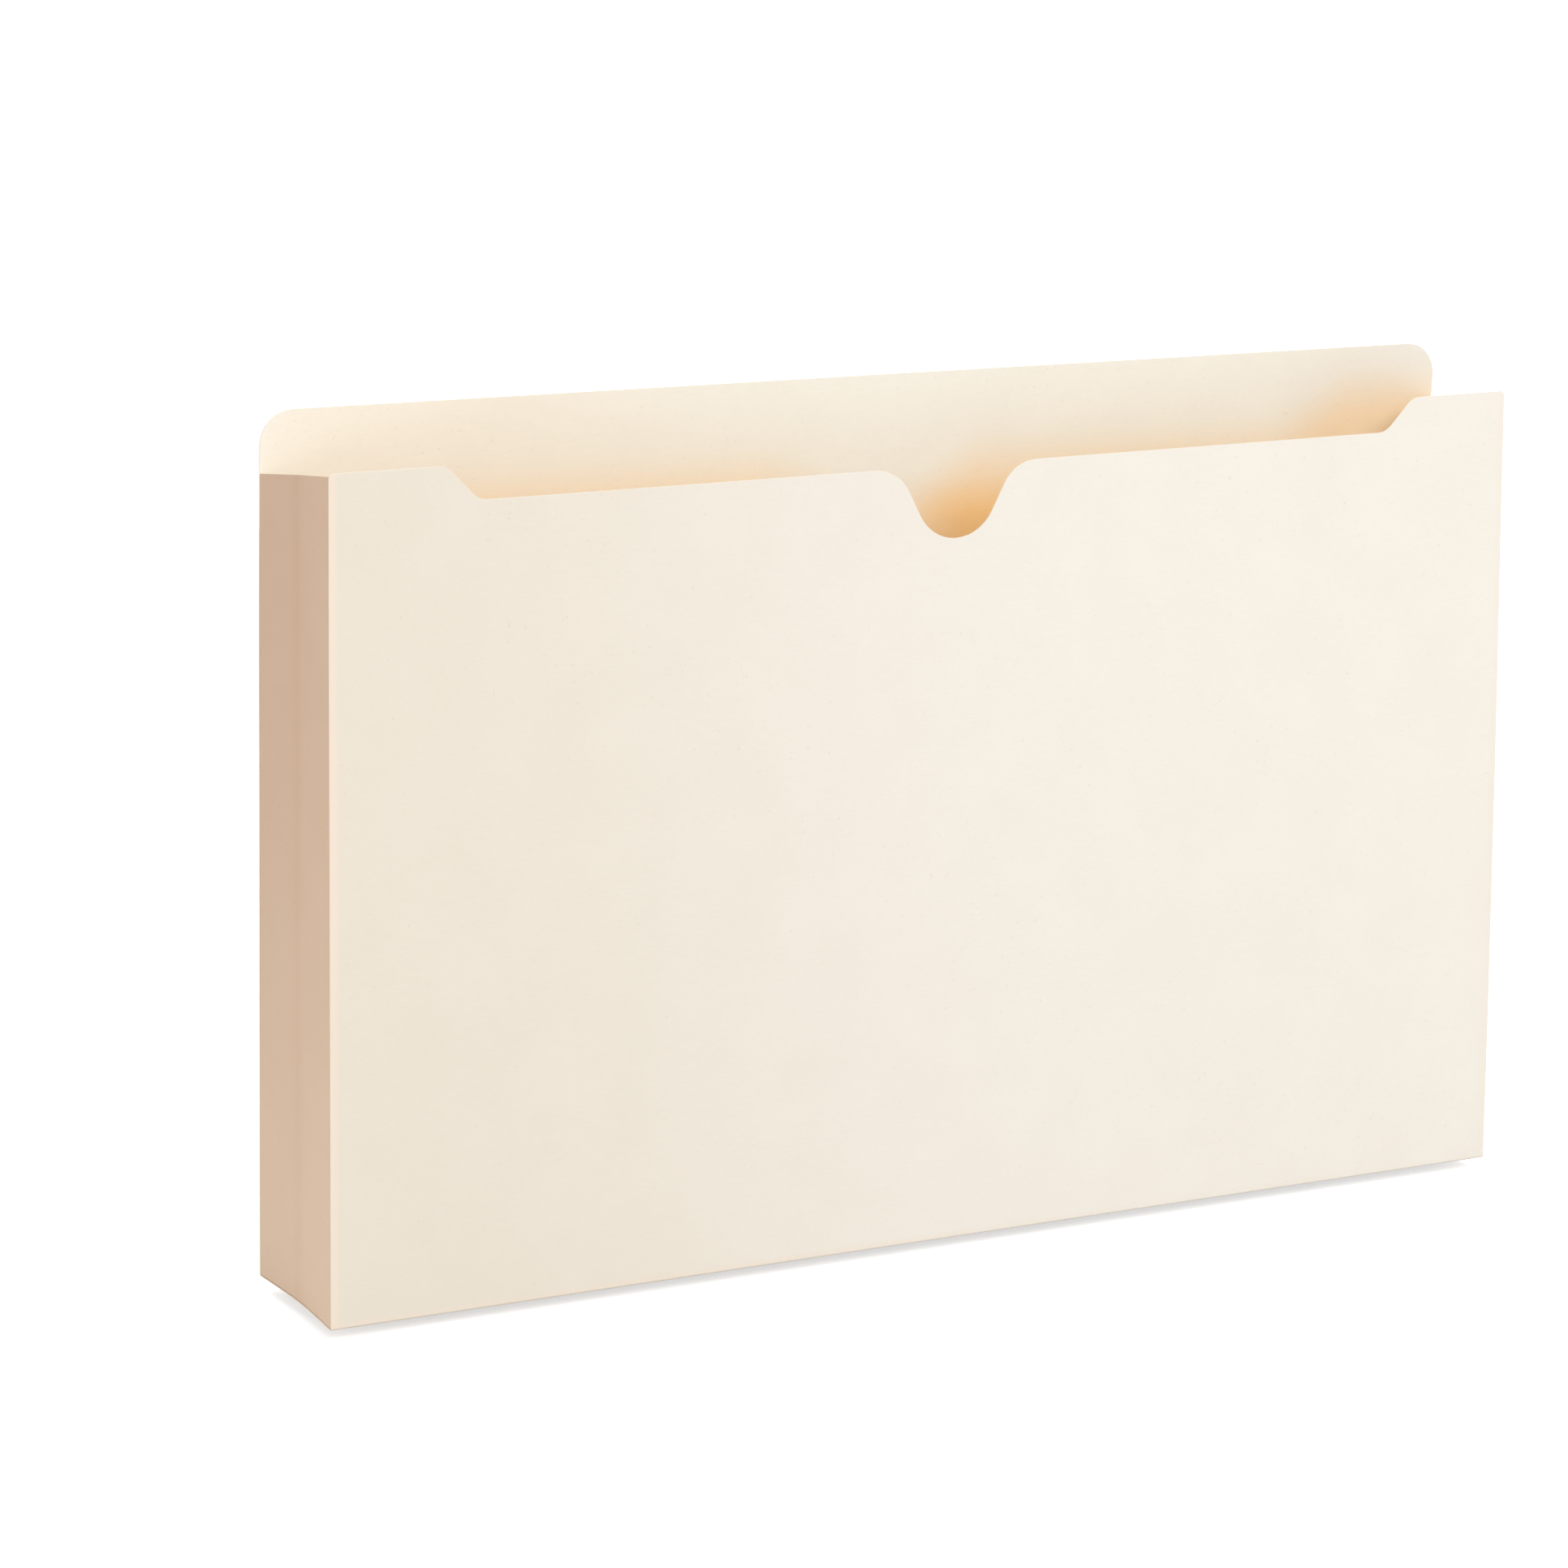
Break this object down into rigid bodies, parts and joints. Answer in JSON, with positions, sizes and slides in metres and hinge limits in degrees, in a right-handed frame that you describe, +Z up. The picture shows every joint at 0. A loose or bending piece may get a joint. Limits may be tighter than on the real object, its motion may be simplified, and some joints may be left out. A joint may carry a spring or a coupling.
{
  "type": "expanding file pocket",
  "caption": "Legal size manila file pocket with pleated ends and bottom, a raised rear tab and a front panel with a thumb notch.",
  "frame": {"origin": "on the ground under the middle of the open pocket, bottom centre of its box", "axes": "+X along the panels to the right as seen from the front, +Y from the front panel to the taller back panel, +Z up"},
  "size_m": [0.3746, 0.0508, 0.2413],
  "materials": {
    "manila_panel": "uncoated 11 point manila card, smooth and matt, with fine fibres",
    "manila_strip": "uncoated manila card of the pleated end strips, matt",
    "glue_line": "thin dried paste, slightly glossy"
  },
  "bodies": {
    "back": {"back_panel": "manila_panel", "tab_ply": "manila_panel", "tab_ply_glue": "glue_line", "left_rear_flap": "manila_strip", "left_rear_flap_glue": "glue_line", "right_rear_flap": "manila_strip", "right_rear_flap_glue": "glue_line", "left_corner_web": "manila_panel", "right_corner_web": "manila_panel", "left_gusset_foot": "manila_strip", "left_gusset_foot_glue": "glue_line", "right_gusset_foot": "manila_strip", "right_gusset_foot_glue": "glue_line"},
    "bottom_rear_half": {"bottom_rear": "manila_panel"},
    "bottom_front_half": {"bottom_front": "manila_panel"},
    "front": {"front_panel": "manila_panel", "left_front_flap": "manila_strip", "left_front_flap_glue": "glue_line", "right_front_flap": "manila_strip", "right_front_flap_glue": "glue_line"},
    "left_gusset_rear_half": {"left_gusset_rear": "manila_strip"},
    "left_gusset_front_half": {"left_gusset_front": "manila_strip"},
    "right_gusset_rear_half": {"right_gusset_rear": "manila_strip"},
    "right_gusset_front_half": {"right_gusset_front": "manila_strip"}
  },
  "joints": [
    {"name": "pocket_fold", "type": "hinge", "parent": "back", "child": "bottom_rear_half", "pos_m": [0, 0.02479, 0.00028], "axis": [-1, 0, 0], "range_deg": [0, 86], "deforming": ["left_corner_web", "right_corner_web", "left_gusset_foot", "right_gusset_foot", "left_gusset_foot_glue", "right_gusset_foot_glue"]},
    {"name": "bottom_centre_crease", "type": "hinge", "parent": "bottom_rear_half", "child": "bottom_front_half", "pos_m": [0, 0, 0], "axis": [1, 0, 0], "range_deg": [0, 172]},
    {"name": "front_bottom_crease", "type": "hinge", "parent": "bottom_front_half", "child": "front", "pos_m": [0, -0.02479, 0.00028], "axis": [-1, 0, 0], "range_deg": [0, 86]},
    {"name": "left_rear_crease", "type": "hinge", "parent": "back", "child": "left_gusset_rear_half", "pos_m": [-0.18704, 0.02479, 0.1], "axis": [0, 0, 1], "range_deg": [0, 86]},
    {"name": "left_centre_crease", "type": "hinge", "parent": "left_gusset_rear_half", "child": "left_gusset_front_half", "pos_m": [-0.18732, 0, 0.1], "axis": [0, 0, -1], "range_deg": [0, 172]},
    {"name": "right_rear_crease", "type": "hinge", "parent": "back", "child": "right_gusset_rear_half", "pos_m": [0.18704, 0.02479, 0.1], "axis": [0, 0, -1], "range_deg": [0, 86]},
    {"name": "right_centre_crease", "type": "hinge", "parent": "right_gusset_rear_half", "child": "right_gusset_front_half", "pos_m": [0.18732, 0, 0.1], "axis": [0, 0, 1], "range_deg": [0, 172]}
  ],
  "couplings": [
    {"joint": "bottom_centre_crease", "follows": "pocket_fold", "ratio": 2},
    {"joint": "front_bottom_crease", "follows": "pocket_fold", "ratio": 1},
    {"joint": "left_rear_crease", "follows": "pocket_fold", "ratio": 1},
    {"joint": "left_centre_crease", "follows": "pocket_fold", "ratio": 2},
    {"joint": "right_rear_crease", "follows": "pocket_fold", "ratio": 1},
    {"joint": "right_centre_crease", "follows": "pocket_fold", "ratio": 2}
  ]
}
